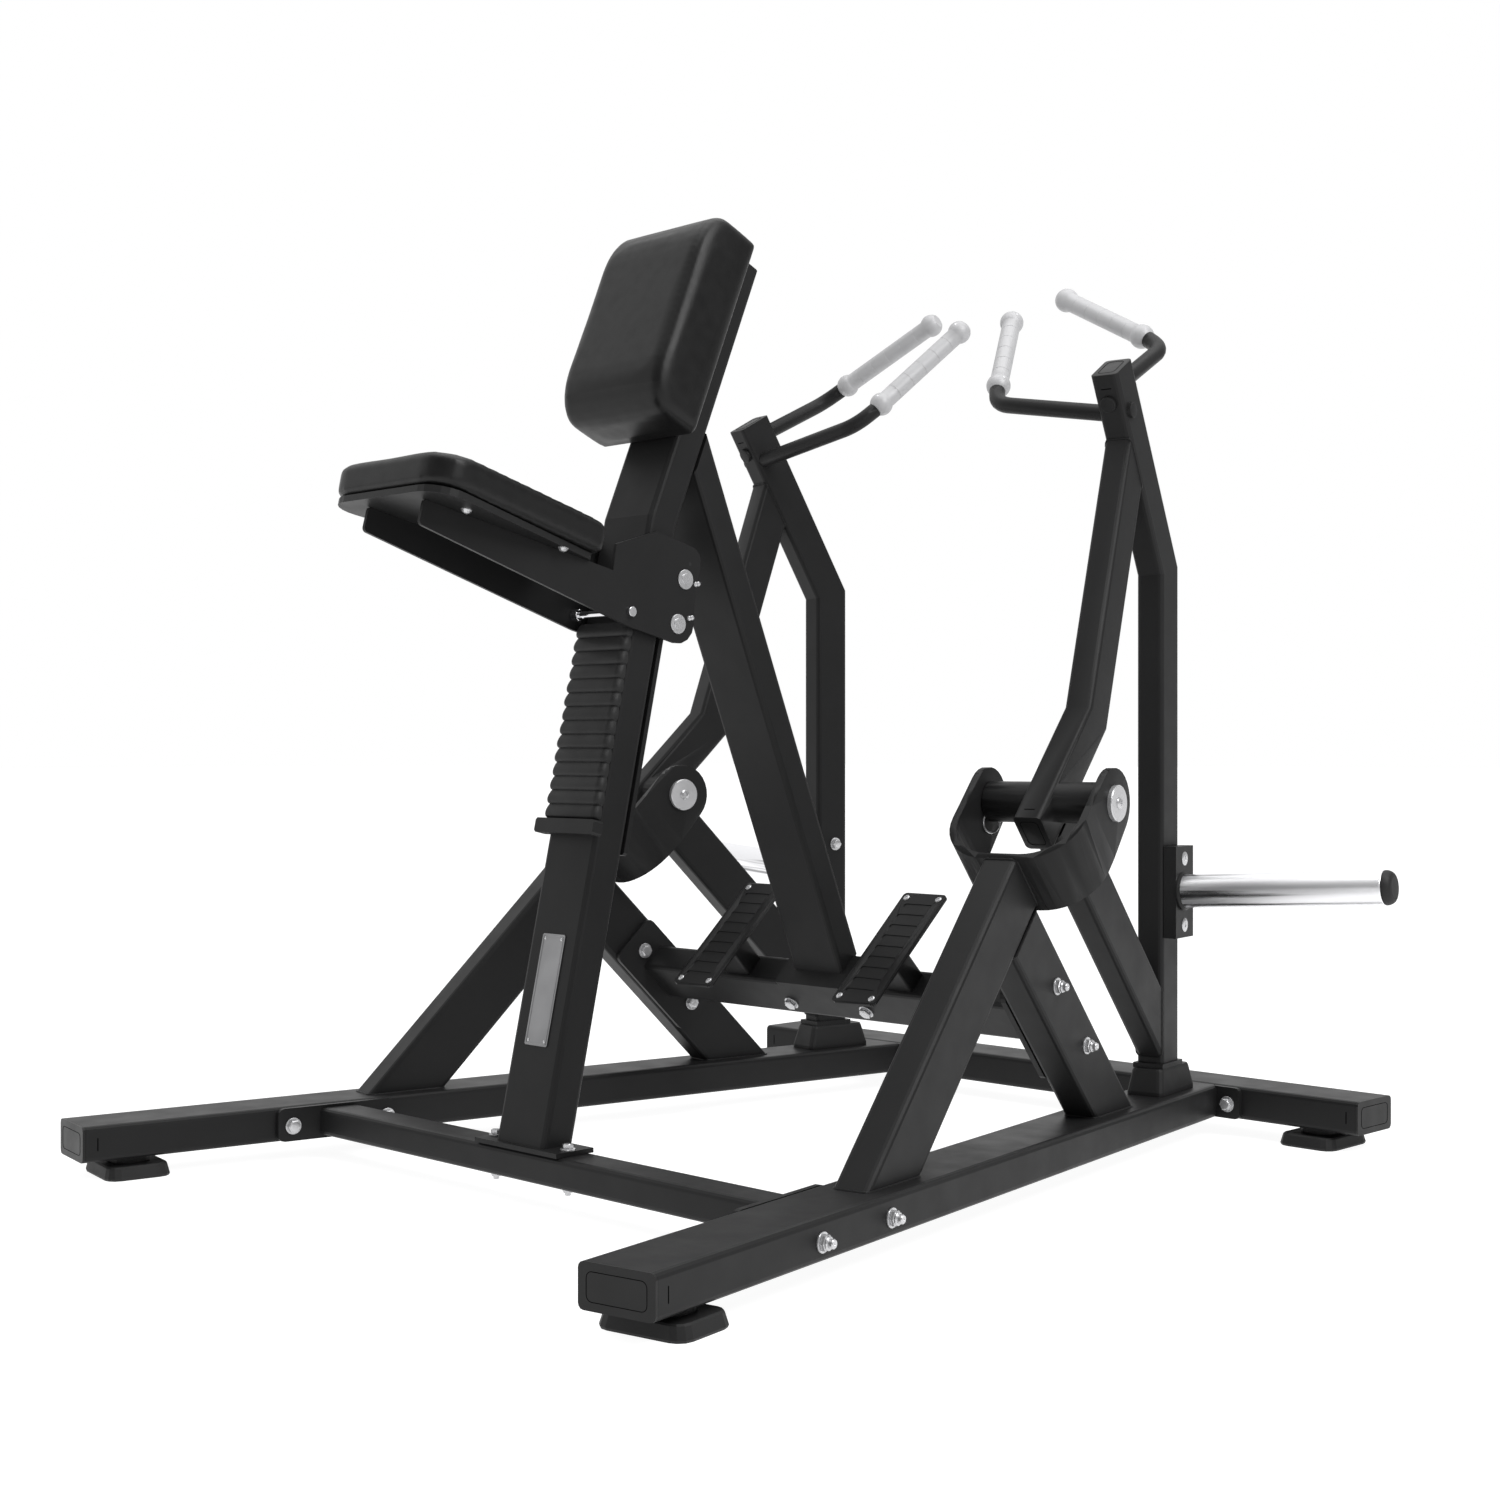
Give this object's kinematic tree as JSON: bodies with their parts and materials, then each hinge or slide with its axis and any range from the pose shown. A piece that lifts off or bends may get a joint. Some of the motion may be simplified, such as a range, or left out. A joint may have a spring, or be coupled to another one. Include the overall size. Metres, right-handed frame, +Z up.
{
  "type": "plate loaded seated row machine",
  "caption": "Black gym machine with a chest pad, sliding seat and separate left and right swing arms that lift weight plates when their silver handles are pulled.",
  "frame": {"origin": "on the floor, under the middle of the machine's plan outline", "axes": "+X to the seated user's right, -Y the seat end, +Y the weight end, +Z up"},
  "size_m": [1.4094, 1.5357, 1.3368],
  "materials": {
    "painted_steel": "satin black powder coat",
    "black_rubber": "matt moulded rubber",
    "black_plastic": "matt moulded plastic",
    "black_vinyl": "fine-grained black upholstery vinyl over foam",
    "chrome": "polished chrome plate",
    "zinc_steel": "bright zinc-plated steel",
    "silver_grip": "satin silver",
    "brushed_plate": "plain brushed plate"
  },
  "bodies": {
    "frame": {"left_base_rail": "painted_steel", "right_base_rail": "painted_steel", "left_rail_cap": "black_plastic", "right_rail_cap": "black_plastic", "left_rear_tube_cap": "black_plastic", "right_rear_tube_cap": "black_plastic", "left_front_strut": "painted_steel", "right_front_strut": "painted_steel", "left_rear_strut": "painted_steel", "right_rear_strut": "painted_steel", "left_pivot_bracket": "painted_steel", "right_pivot_bracket": "painted_steel", "left_pivot_axle": "zinc_steel", "right_pivot_axle": "zinc_steel", "left_bumper": "black_rubber", "right_bumper": "black_rubber", "left_foot_plate": "painted_steel", "right_foot_plate": "painted_steel", "front_left_foot": "black_rubber", "front_right_foot": "black_rubber", "rear_left_foot": "black_rubber", "rear_right_foot": "black_rubber", "rear_cross_tube": "painted_steel", "front_cross_tube": "painted_steel", "mid_cross_tube": "painted_steel", "rear_brace": "painted_steel", "seat_post": "painted_steel", "guide_strip": "painted_steel", "bellows_collar": "black_plastic", "bellows": "black_rubber", "nameplate": "brushed_plate", "chest_board": "black_plastic", "chest_pad": "black_vinyl"},
    "seat_carriage": {"left_carriage_plate": "painted_steel", "right_carriage_plate": "painted_steel", "seat_board": "black_plastic", "seat_pad": "black_vinyl", "latch_shaft": "chrome"},
    "upper_roller": {"upper_roller": "black_plastic"},
    "lower_roller": {"lower_roller": "black_plastic"},
    "left_arm": {"left_arm_tube": "painted_steel", "left_lower_link": "painted_steel", "left_upright": "painted_steel", "left_sleeve_block": "painted_steel", "left_weight_sleeve": "chrome", "left_sleeve_cap": "black_rubber", "left_inner_handle": "painted_steel", "left_outer_handle": "painted_steel", "left_inner_grip": "silver_grip", "left_outer_grip": "silver_grip"},
    "right_arm": {"right_arm_tube": "painted_steel", "right_lower_link": "painted_steel", "right_upright": "painted_steel", "right_sleeve_block": "painted_steel", "right_weight_sleeve": "chrome", "right_sleeve_cap": "black_rubber", "right_inner_handle": "painted_steel", "right_outer_handle": "painted_steel", "right_inner_grip": "silver_grip", "right_outer_grip": "silver_grip"}
  },
  "joints": [
    {"name": "right_arm_swing", "type": "hinge", "parent": "frame", "child": "right_arm", "pos_m": [0.40803, 0.17637, 0.525], "axis": [0.9848, 0.1736, 0], "range_deg": [0, 42]},
    {"name": "left_arm_swing", "type": "hinge", "parent": "frame", "child": "left_arm", "pos_m": [-0.40803, 0.17637, 0.525], "axis": [0.9848, -0.1736, 0], "range_deg": [0, 42]},
    {"name": "seat_slide", "type": "slide", "parent": "frame", "child": "seat_carriage", "axis": [0, 0.2198, 0.9755], "range_m": [-0.15, 0], "deforming": ["bellows"]},
    {"name": "upper_roller_turn", "type": "hinge", "parent": "seat_carriage", "child": "upper_roller", "pos_m": [0, -0.18328, 0.83101], "axis": [1, 0, 0], "range_deg": [-960, 5]},
    {"name": "lower_roller_turn", "type": "hinge", "parent": "seat_carriage", "child": "lower_roller", "pos_m": [0, -0.19719, 0.76926], "axis": [1, 0, 0], "range_deg": [-960, 5]}
  ],
  "couplings": [
    {"joint": "upper_roller_turn", "follows": "seat_slide", "rad_per_m": 111.11},
    {"joint": "lower_roller_turn", "follows": "seat_slide", "rad_per_m": 111.11}
  ]
}
